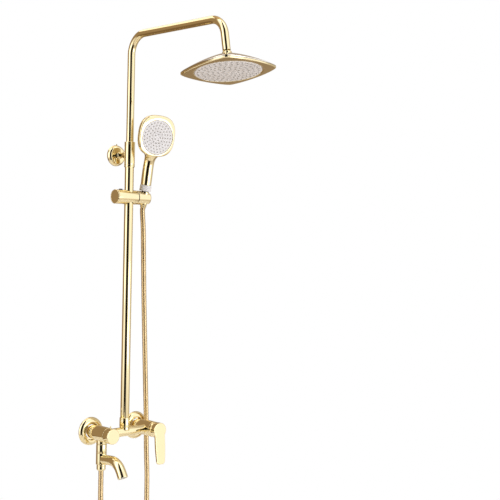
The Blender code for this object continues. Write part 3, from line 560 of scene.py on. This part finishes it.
# ------------------------------------------------------------------ outlet column and spout
# The column hangs under the left housing. The cast spout swivels on its lower spigot between two O-rings,
# and the hose nut closes the end. A plastic aerator sits in the mouth of the spout.

def pipe(name, points, radius_at, material, body, nodes=(), sides=64, bore=0.0):
    """A tube of round rings along the points. With a bore, its ends are open and it has an inner wall."""
    start_piece(name)
    bpy.ops.object.mode_set(mode="OBJECT")
    bm = bmesh.new()
    stations = [(i, radius_at(i)) for i in range(len(points))]
    if bore:
        stations += [(i, bore) for i in reversed(range(len(points)))]
    ring_path(bm, points, stations, sides, closed=bool(bore))
    piece = bpy.context.object
    bm.to_mesh(piece.data)
    bm.free()
    bpy.ops.object.mode_set(mode="EDIT")
    return finish_piece(material, body, nodes)


def make_outlet():
    axis = centre_of("outlet_column")
    foot = Vector((axis.x, axis.y, 0))
    down = Vector((0, 0, -1))
    turned("outlet_pipe", [(0.0055, 0.0273), (0.0140, 0.0273), (0.0140, 0.0497), (0.0090, 0.0497),
                           (0.0090, 0.0905), (0.0055, 0.0905), (0.0055, 0.0273)],
           foot, down, POLISHED, "wall_mixer", ["outlet_column"])
    turned("hose_nut", [(0.0093, 0.0803), (0.0116, 0.0803), (0.0120, 0.0807), (0.0120, 0.0850),
                        (0.0116, 0.0854), (0.0120, 0.0858), (0.0120, 0.0925), (0.0105, 0.0960),
                        (0.0055, 0.0960), (0.0055, 0.0930), (0.0093, 0.0930), (0.0093, 0.0803)],
           foot, down, POLISHED, "wall_mixer", ["hose_outlet_nut"])
    for node in ("spout_oring_upper", "spout_oring_lower"):
        dress(node, BLACK_RUBBER)
    run = [(-0.0010, -0.0667), (-0.0200, -0.0652), (-0.0350, -0.0640), (-0.0490, -0.0633), (-0.0610, -0.0650),
           (-0.0715, -0.0695), (-0.0805, -0.0765), (-0.0875, -0.0853), (-0.0930, -0.0938), (-0.0969, -0.1008)]
    path = smooth_route([foot + Vector((0, y, z)) for y, z in run], 0.002)
    last = len(path) - 1

    def width(i):
        flare = 0.0122 + 0.0013 * i / last
        return flare - 0.0004 * (i == last) + 0.00015 * (i == last - 1)

    start_piece("spout_ring")
    turn_profile([(0.0095, 0.0500), (0.0136, 0.0500), (0.0140, 0.0504), (0.0140, 0.0796), (0.0136, 0.0800),
                  (0.0095, 0.0800), (0.0095, 0.0500)], foot, down)
    bpy.ops.object.mode_set(mode="OBJECT")
    collar = bpy.context.object
    collar.data.materials.append(POLISHED)
    neck = next(i for i, p in enumerate(path) if (p - foot).y < -0.0100)
    tube = pipe("spout_casting", path[neck:], lambda i: width(i + neck), POLISHED, "spout",
                ["spout_body"], bore=0.0098)
    join_as("spout_casting", [tube, collar])
    bpy.ops.mesh.select_all(action="SELECT")
    bpy.ops.mesh.normals_make_consistent(inside=False)
    bpy.ops.object.mode_set(mode="OBJECT")
    bpy.ops.object.shade_smooth_by_angle(angle=radians(35))
    dress("spout_aerator", PALE_PLASTIC)


make_outlet()


# ------------------------------------------------------------------ riser
# Drawn brass tube on the bar's spigot, held by a round nut and a rubber seal.
# The sleeve at its top is a little fatter, and guides the sliding arm.

def make_riser():
    axis = centre_of("lower_riser")
    foot, up = Vector((axis.x, axis.y, 0)), Vector((0, 0, 1))
    low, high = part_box("lower_riser")[0][2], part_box("lower_riser")[1][2]
    turned("riser_tube", [(0.0104, low), (0.0120, low), (0.0120, high), (0.0104, high), (0.0104, low)],
           foot, up, POLISHED, "wall_mixer", ["lower_riser"])
    turned("tube_nut", [(0.0114, 0.0132), (0.0134, 0.0134), (0.0138, 0.0140), (0.0138, 0.0330),
                        (0.0134, 0.0334), (0.0134, 0.0342), (0.0138, 0.0346), (0.0138, 0.0370),
                        (0.0125, 0.0380), (0.0124, 0.0380), (0.0124, 0.0246), (0.0114, 0.0246),
                        (0.0114, 0.0132)],
           foot, up, POLISHED, "wall_mixer", ["riser_nut"], soften=0.0002)
    low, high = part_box("bracket_sleeve")[0][2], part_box("bracket_sleeve")[1][2]
    turned("sleeve", [(0.0123, low), (0.0132, low), (0.0140, low + 0.0008), (0.0140, low + 0.0060),
                      (0.0137, low + 0.0063), (0.0140, low + 0.0066), (0.0140, high - 0.0066),
                      (0.0137, high - 0.0063), (0.0140, high - 0.0060), (0.0140, high - 0.0008),
                      (0.0132, high), (0.0103, high), (0.0103, 0.7424), (0.0123, 0.7424), (0.0123, low)],
           foot, up, POLISHED, "wall_mixer", ["bracket_sleeve"], soften=0.0001)
    dress("riser_seal", BLACK_RUBBER)
    dress("sleeve_oring", BLACK_RUBBER)


make_riser()


# ------------------------------------------------------------------ wall bracket
# A post screwed to a steel plate on the wall, its end hollowed to the sleeve and brazed to it.
# A domed flange slides along the post to cover the plate, and a small pin locks it.

def make_bracket():
    middle = centre_of("bracket_wall_plate")
    foot = Vector((middle.x, 0, middle.z))
    dome = [(0.0200 + 0.0085 * sin(t * pi / 20), 0.0122 * cos(t * pi / 20)) for t in range(11)]
    turned("bracket_cover", [(0.0097, 0.0098), (0.0097, 0.0128)] + dome
           + [(0.0245, 0.0), (0.0245, 0.0050), (0.0210, 0.0088), (0.0097, 0.0098)],
           foot, OUT, POLISHED, "wall_mixer", ["bracket_flange"], soften=0)
    turned("post", [(0, 0.0500), (0.0088, 0.0500), (0.0088, 0.0390), (0.0070, 0.0372), (0.0070, 0.0218),
                    (0.0092, 0.0195), (0.0092, 0.0040), (0.0060, 0.0040), (0.0060, 0.0088), (0, 0.0088)],
           foot, OUT, POLISHED, "wall_mixer", ["bracket_post"], soften=0.0006)
    dress("bracket_grub_screw", POLISHED)
    dress("bracket_wall_plate", PLATED_STEEL)
    dress("wall_screw", PLATED_STEEL)


make_bracket()


# ------------------------------------------------------------------ overhead arm
# Thinner brass tube that slides in the riser, bent forward at the top and down again over the head.
# A plastic guide keeps its foot in line, and a brass ball is brazed into its end.

BLACK_PLASTIC = surface("dark_moulding", (0.05, 0.05, 0.055), 0.0, 0.42, bump=0.12, grain=500)


def bend(corner, start, end, radius, pieces=20):
    """Points round a bend at corner, between the directions towards start and towards end."""
    to_start, to_end = (start - corner).normalized(), (end - corner).normalized()
    half = to_start.angle(to_end) / 2
    middle = corner + (to_start + to_end).normalized() * (radius / sin(half))
    first = corner + to_start * (radius / tan(half)) - middle
    axis = to_end.cross(to_start).normalized()
    return [middle + Matrix.Rotation((pi - 2 * half) * i / pieces, 3, axis) @ first
            for i in range(pieces + 1)]


def ball_joint():
    joints = frame["record"]["behaviour"]["joints"]
    return Vector(next(j["pos_m"] for j in joints if j["name"] == "head_pitch"))


def make_arm():
    axis = centre_of("lower_riser")
    low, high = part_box("shower_arm")
    foot = Vector((axis.x, axis.y, low[2]))
    radius, lean, fall = 0.0100, radians(10.75), 0.0045
    top = high[2] - radius
    down = Vector((0, -sin(lean), -cos(lean)))
    ball = ball_joint()
    corner = Vector((axis.x, axis.y, top))
    end_corner = ball - down * ((ball.z - top + fall) / down.z)
    tip = ball - down * 0.014
    path = ([foot] + bend(corner, foot, end_corner, 0.052) + bend(end_corner, corner, tip, 0.050) + [tip])
    pipe("arm_tube", path, lambda i: radius, POLISHED, "arm", ["shower_arm"], bore=0.0085)
    ball_radius = 0.0085
    round_end = [(ball_radius * sin(radians(a)), ball_radius * cos(radians(a))) for a in range(38, 180, 8)]
    turned("ball_end", [(0, 0.0300), (0.0082, 0.0300), (0.0082, 0.0183), (0.0052, 0.0165)] + round_end
           + [(0, -ball_radius)], ball, -down, POLISHED, "arm", ["arm_ball"], soften=0)
    dress("upper_tube_guide", BLACK_PLASTIC)


make_arm()


# ------------------------------------------------------------------ overhead head
# A thin moulded shell, gold-plated, closed below by a plated frame that holds the white spray plate.
# Silicone nozzles stand through the plate in rings. The ball nut clamps the head to the arm's ball.

PLATED_SHELL = surface("plated_shell", (0.93, 0.795, 0.47), 1.0, 0.10, bump=0.02, grain=200, tint=0.02)
WHITE_PLATE = surface("white_spray_plate", (0.93, 0.90, 0.87), 0.0, 0.34, bump=0.05, grain=500, tint=0.02)
# painted reflection: a paler, near-white copy of the shell's plated gold, standing in for the white glare the
# top shell mirrors
REFLECTION_PAINTED_SHELL = surface("shell_gold_with_painted_reflection", (0.95, 0.90, 0.79), 1.0, 0.16, bump=0.02, grain=200, tint=0.02)
GREY_SILICONE = surface("silicone_nozzle", (0.56, 0.53, 0.49), 0.0, 0.50, bump=0.10, grain=800)


def stack_rows(name, rows):
    """Extrudes a ring of edges from row to row, and moves each new ring to its row's points."""
    bpy.ops.object.select_all(action="DESELECT")
    bpy.ops.mesh.primitive_circle_add(vertices=len(rows[0]), radius=1, location=(0, 0, 0))
    piece = bpy.context.object
    piece.name = name
    for vertex, point in zip(piece.data.vertices, rows[0]):
        vertex.co = point
    bpy.ops.object.mode_set(mode="EDIT")
    bpy.ops.mesh.select_all(action="SELECT")
    for here, there in zip(rows, rows[1:]):
        bpy.ops.mesh.extrude_region_move()
        bm = bmesh.from_edit_mesh(piece.data)
        number = {tuple(round(c, 6) for c in point): i for i, point in enumerate(here)}
        for vertex in bm.verts:
            if vertex.select:
                vertex.co = there[number[tuple(round(c, 6) for c in vertex.co)]]
        bmesh.update_edit_mesh(piece.data)
    return piece


def nozzle_rings(name, profile, radii, pitch, centre, turn, outward, axis, steps):
    """Rings of equal nozzles about the centre, about a pitch apart, joined and left in edit mode."""
    rings = []
    for number, radius in enumerate(radii):
        count = round(2 * pi * radius / pitch)
        start_piece(f"{name}_{number}")
        turn_profile(profile, centre + turn @ Vector((radius, 0, 0)), outward, steps=steps, soften=0)
        bpy.ops.mesh.select_all(action="SELECT")
        bpy.ops.mesh.remove_doubles(threshold=2e-6)
        bpy.ops.mesh.select_all(action="SELECT")
        bpy.ops.mesh.spin(dupli=True, steps=count - 1, angle=2 * pi * (count - 1) / count,
                          center=centre, axis=axis)
        bpy.ops.object.mode_set(mode="OBJECT")
        rings.append(bpy.context.object)
    join_as(name, rings[::-1])


def make_head():
    ball = ball_joint()
    turn = Euler((radians(-8.8), radians(1.4), 0)).to_matrix()
    middle = ball - turn @ Vector((0, 0, 0.040))
    up = turn @ Vector((0, 0, 1))
    tip, power, sides = 0.1155, 1.28, 160
    plate, collar = 0.0820, 0.0150

    def outline(scale, height):
        row = []
        for i in range(sides):
            a = 2 * pi * i / sides
            reach = scale * tip / (abs(cos(a)) ** power + abs(sin(a)) ** power) ** (1 / power)
            row.append(Vector((reach * cos(a + pi / 4), reach * sin(a + pi / 4), height)))
        return row

    def circle(radius, height):
        turns = [2 * pi * i / sides + pi / 4 for i in range(sides)]
        return [Vector((radius * cos(a), radius * sin(a), height)) for a in turns]

    def placed(rows):
        return [[middle + turn @ point for point in row] for row in rows]

    low, high = 0.0055, 0.0370

    def crown(share, drop=0.0, inset=0.0):
        rise = low + 0.0015 + (high - low - 0.0015) * (1 - share ** 1.7) - drop
        return [Vector((p.x, p.y, rise)) for p in
                (a.lerp(b, share) for a, b in zip(circle(collar, 0), outline(1 - inset / tip, 0)))]

    shares = [1 - (i / 18) ** 1.2 for i in range(19)]
    outer = [outline(0.996, low), outline(1.0, low + 0.0006)] + [crown(s) for s in shares]
    inner = [outline(1 - 0.003 / tip, low)] + [outline(1 - 0.003 / tip, low + 0.0004)] \
        + [crown(s, 0.0022, 0.003) for s in shares[1:]]
    stack_rows("head_shell", placed(outer + inner[::-1] + outer[:1]))
    # the top shell takes the paler copy of the plated gold, a painted reflection of the white room's glare
    finish_piece(REFLECTION_PAINTED_SHELL, "head", ["head_top_shell"], smooth=50)

    edge = [(0.0008, 0.0050), (0.0, 0.0045), (0.0, 0.0024), (0.0003, 0.0014), (0.0010, 0.0006),
            (0.0020, 0.0001), (0.0032, 0.0)]
    rim = [outline(1 - back / tip, height) for back, height in edge]
    flat = circle(plate + 0.0026, 0)
    rows = rim + [[a.lerp(b, k / 6) for a, b in zip(rim[-1], flat)] for k in range(1, 7)]
    rows += [circle(plate + 0.0014, 0.0004), circle(plate + 0.0008, 0.0012), circle(plate + 0.0008, 0.0050)]
    stack_rows("head_frame", placed(rows + rows[:1]))
    finish_piece(PLATED_SHELL, "head", ["head_face_frame"], smooth=50)

    turned("spray_plate", [(0, 0.0046), (plate, 0.0046), (plate, 0.0008), (plate - 0.0012, -0.0003),
                           (plate - 0.0040, -0.0004), (plate - 0.0044, -0.0001), (plate - 0.0052, -0.0001),
                           (plate - 0.0056, -0.0004), (0, -0.0004)],
           middle, up, WHITE_PLATE, "head", ["head_nozzle_plate"], soften=0.0002)
    nozzle = [(0, 0.0002), (0.0026, 0.0002), (0.0023, 0.0008), (0.0017, 0.0020), (0.0009, 0.0022),
              (0, 0.0017)]
    nozzle_rings("head_nozzles", nozzle, [0.0740 - 0.0122 * number for number in range(6)], 0.0135,
                 middle, turn, -up, up, steps=14)
    finish_piece(GREY_SILICONE, "head")

    turned("clamp_nut", [(0.0098, 0.0500), (0.0110, 0.0500), (0.0115, 0.0496), (0.0119, 0.0478),
                         (0.0125, 0.0450), (0.0136, 0.0428), (0.0150, 0.0414), (0.0152, 0.0410),
                         (0.0152, 0.0398), (0.0106, 0.0398), (0.0106, 0.0440), (0.0094, 0.0465),
                         (0.0098, 0.0500)],
           middle, up, POLISHED, "head", ["ball_nut"], soften=0.0002)
    dress("head_water_box", BLACK_PLASTIC)
    dress("ball_seat_ring", WHITE_PLATE)


make_head()


# ------------------------------------------------------------------ sliding holder
# Two plated drums on one line: the left one grips the riser through a plastic bush and carries the release
# button, the right one is the cradle, with a tapered seat for the cone nut and a slot that lets the hose in.

CONE_TAPER = 0.0563


def cut_away(piece, cutters):
    """Cuts the cutters out of the piece, and removes them."""
    for cutter in cutters:
        cut = piece.modifiers.new("cut", "BOOLEAN")
        cut.operation, cut.object = "DIFFERENCE", cutter
        bpy.ops.object.select_all(action="DESELECT")
        bpy.context.view_layer.objects.active = piece
        piece.select_set(True)
        bpy.ops.object.modifier_apply(modifier=cut.name)
        bpy.data.objects.remove(cutter, do_unlink=True)


def solid_turned(name, profile, foot, axis, steps=96, soften=0.0):
    """A turned solid that is still being worked on."""
    start_piece(name)
    turn_profile(profile, foot, axis, steps, soften)
    bpy.ops.mesh.select_all(action="SELECT")
    bpy.ops.mesh.remove_doubles(threshold=2e-6)
    bpy.ops.mesh.normals_make_consistent(inside=False)
    bpy.ops.object.mode_set(mode="OBJECT")
    return bpy.context.object


def make_holder():
    riser = centre_of("lower_riser")
    level = centre_of("slider_body").z
    foot = Vector((0, riser.y, level))
    along, up = Vector((1, 0, 0)), Vector((0, 0, 1))
    left, seam, right, radius = -0.0520, 0.0132, 0.0570, 0.0190
    drum = solid_turned("slider_drum", [(0, left), (radius - 0.0006, left), (radius, left + 0.0006),
                                        (radius, seam - 0.0006), (radius - 0.0006, seam), (0, seam)],
                        foot, along, steps=128, soften=0.0003)
    button = centre_of("release_button")
    cut_away(drum, [
        solid_turned("riser_bore", [(0, -0.03), (0.0136, -0.03), (0.0136, 0.03), (0, 0.03)],
                     (riser.x, riser.y, level), up),
        solid_turned("button_bore", [(0, 0.005), (0.0054, 0.005), (0.0054, 0.03), (0, 0.03)],
                     (button.x, button.y, level), up, steps=48),
        solid_turned("plug_bore", [(0, left - 0.005), (0.0103, left - 0.005), (0.0103, -0.0438),
                                   (0, -0.0438)], foot, along, steps=64)])
    bpy.ops.object.mode_set(mode="EDIT")
    finish_piece(PLATED_SHELL, "slider", ["slider_body"])
    turned("end_cap", [(0, -0.0442), (0.0100, -0.0442), (0.0100, left - 0.0003), (radius, left - 0.0003),
                       (radius, left - 0.0020), (0.0184, left - 0.0029), (0.0170, left - 0.0030),
                       (0.0166, left - 0.0027), (0, left - 0.0026)],
           foot, along, PLATED_SHELL, "slider", ["slider_end_cap"], soften=0.0002)
    turned("button_cap", [(0, 0.0085), (0.0050, 0.0085), (0.0050, 0.0207), (0.0046, 0.0213), (0.0036, 0.0215),
                          (0.0030, 0.0210), (0, 0.0209)],
           (button.x, button.y, level), up, BLACK_PLASTIC, "button", ["release_button"],
           steps=48, soften=0.0002)

    edge, left = 0.0060, seam + 0.0015
    radius = 0.01875
    round_end = [(radius - edge + edge * cos(a * pi / 20), right - edge + edge * sin(a * pi / 20))
                 for a in range(11)]
    cradle = solid_turned("cradle_drum", [(0, left), (radius - 0.0006, left), (radius, left + 0.0006)]
                          + round_end + [(0, right)], foot, along, steps=128)
    seat, axis = Vector((SEAT_X, SEAT_Y, level)), Vector((0, -sin(CRADLE_LEAN), cos(CRADLE_LEAN)))
    reach, wide = 0.032, 0.01075
    cone = solid_turned("cone_bore", [(0, -reach), (wide - CONE_TAPER * reach, -reach),
                                      (wide + CONE_TAPER * reach, reach), (0, reach)], seat, axis)
    bpy.ops.mesh.primitive_cube_add(size=1, location=seat + Vector((0.020, 0, 0)),
                                    rotation=(CRADLE_LEAN, 0, 0))
    slot = bpy.context.object
    slot.scale = (0.040, 0.0152, 0.070)
    bpy.ops.object.transform_apply(location=True, rotation=True, scale=True)
    pin = solid_turned("pin_bore", [(0, 0.0), (0.0050, 0.0), (0.0050, 0.0220), (0, 0.0220)],
                       foot, along, steps=48)
    cut_away(cradle, [cone, slot, pin])
    bpy.ops.object.mode_set(mode="EDIT")
    finish_piece(PLATED_SHELL, "cradle", ["handset_cradle"])
    dress("slider_bush", BLACK_PLASTIC)
    dress("cradle_washer", BLACK_RUBBER)
    dress("cradle_pin", PLATED_STEEL)


make_holder()


# ------------------------------------------------------------------ handset
# A plated shell whose rounded-square head runs back into the handle, with a round white spray plate.
# A white collar closes the foot of the handle, and the hose's tapered nut screws up into it.

def soft_step(sections, here, there, share):
    """The section a share of the way from one station to the next, on a smooth curve through them all."""
    i = sections.index(here)
    before, after = sections[max(i - 1, 1)], sections[min(i + 2, len(sections) - 1)]
    t, result = share, []
    for a, b, c, d in zip(before, here, there, after):
        result.append(b * (2 * t ** 3 - 3 * t ** 2 + 1) + (c - a) * 0.5 * (t ** 3 - 2 * t ** 2 + t)
                      + c * (3 * t ** 2 - 2 * t ** 3) + (d - b) * 0.5 * (t ** 3 - t ** 2))
    return tuple(result)


def cap_ends():
    """Closes the two open ends of the piece in hand."""
    bpy.ops.mesh.select_all(action="DESELECT")
    bpy.ops.mesh.select_mode(type="EDGE")
    bpy.ops.mesh.select_non_manifold()
    bpy.ops.mesh.edge_face_add()
    bpy.ops.mesh.select_mode(type="VERT")


def make_handset():
    twist = radians(-8.0)
    turn = Matrix.Rotation(CRADLE_LEAN, 3, "X") @ Matrix.Rotation(twist, 3, "Z")
    seat = Vector((SEAT_X, SEAT_Y, centre_of("slider_body").z))
    up, out = turn @ Vector((0, 0, 1)), turn @ Vector((0, -1, 0))
    rise, face = 0.168, 0.030
    head = seat + up * rise

    def squircle(half_width, half_height, forward, sides=96, power=2.7, raised=0.0035):
        row = []
        for i in range(sides):
            c, s = cos(2 * pi * i / sides), sin(2 * pi * i / sides)
            reach = (abs(c) ** power + abs(s) ** power) ** (-1 / power)
            across, above = half_width * reach * c, half_height * reach * s + raised
            row.append(head + turn @ Vector((across, -forward, above)))
        return row

    def disc(radius, forward, sides=96):
        return squircle(radius, radius, forward, sides, 2.0, 0.0)

    back = [(0.955, 0.0), (0.968, 0.0003), (0.980, 0.0010), (0.990, 0.0020), (0.997, 0.0036), (1.0, 0.0060),
            (0.996, 0.0090), (0.985, 0.0120), (0.962, 0.0152), (0.93, 0.0180), (0.875, 0.0209),
            (0.80, 0.0235), (0.69, 0.0256), (0.55, 0.0270), (0.40, 0.0280), (0.25, 0.0285),
            (0.10, 0.0287), (0.02, 0.0287)]
    rows = [disc(0.0020, face - 0.0240), disc(0.0420, face - 0.0240), disc(0.0420, face - 0.0058),
            disc(0.0473, face - 0.0058), disc(0.0473, face - 0.0006), disc(0.0479, face)]
    rows += [squircle(0.0540 * k, 0.0552 * k, face - depth) for k, depth in back]
    stack_rows("handset_back", rows)
    bpy.ops.object.mode_set(mode="OBJECT")
    shell = bpy.context.object
    # height up the handle, half width, half depth, middle's distance forward
    sections = [(0.0363, 0.0137, 0.0137, 0.0), (0.0368, 0.0143, 0.0143, 0.0), (0.060, 0.0145, 0.0145, 0.0),
                (0.085, 0.0142, 0.0142, 0.0004), (0.100, 0.0142, 0.0141, 0.0022),
                (0.109, 0.0156, 0.0142, 0.0052), (0.116, 0.0192, 0.0148, 0.0095),
                (0.122, 0.0246, 0.0140, 0.0122), (0.128, 0.0290, 0.0122, 0.0134),
                (0.136, 0.0300, 0.0095, 0.0140)]
    grip = []
    for here, there in zip(sections[1:], sections[2:]):
        for k in range(8):
            grip.append(soft_step(sections, here, there, k / 8))
    grip.append(sections[-1])
    stack_rows("handset_grip", [
        [seat + turn @ Vector((wide * cos(2 * pi * i / 72), deep * sin(2 * pi * i / 72) - forward, height))
         for i in range(72)] for height, wide, deep, forward in sections[:1] + grip])
    cap_ends()
    bpy.ops.object.mode_set(mode="OBJECT")
    join_as("handset_casing", [bpy.context.object, shell])
    finish_piece(PLATED_SHELL, "handset", ["handset_shell"], smooth=40)

    turned("handset_plate", [(0, face), (0.0150, face), (0.0153, face - 0.0004), (0.0158, face - 0.0004),
                             (0.0161, face), (0.0448, face), (0.0462, face - 0.0003), (0.0468, face - 0.0012),
                             (0.0470, face - 0.0055), (0, face - 0.0055)],
           head, out, WHITE_PLATE, "handset", ["handset_face_plate"], soften=0.0001)
    jet = [(0, -0.0004), (0.0020, -0.0004), (0.0018, 0.0006), (0.0009, 0.0010), (0, 0.0006)]
    nozzle_rings("handset_nozzles", jet, [0.0395 - 0.0078 * number for number in range(5)], 0.0096,
                 head + out * face, turn, out, out, steps=12)
    finish_piece(GREY_SILICONE, "handset")

    turned("collar_white", [(0.0060, 0.0358), (0.0141, 0.0358), (0.0148, 0.0355), (0.0151, 0.0348),
                            (0.0155, 0.0290), (0.0153, 0.0286), (0.0153, 0.0282), (0.0156, 0.0278),
                            (0.0160, 0.0209), (0.0157, 0.0199), (0.0150, 0.0195), (0.0060, 0.0195),
                            (0.0060, 0.0358)],
           seat, up, WHITE_PLATE, "handset", ["handset_collar"], soften=0.0002)
    low, high = -0.0260, 0.0165
    turned("cone_nut", [(0.0050, high), (0.0103 + CONE_TAPER * high, high),
                        (0.0103 - CONE_TAPER * 0.0180, -0.0180), (0.0086, -0.0206), (0.0078, low),
                        (0.0050, low), (0.0050, high)],
           seat, up, POLISHED, "handset", ["hose_cone_nut"])
    dress("handset_jet_disc", BLACK_PLASTIC)
    dress("handset_washer", BLACK_RUBBER)


make_handset()
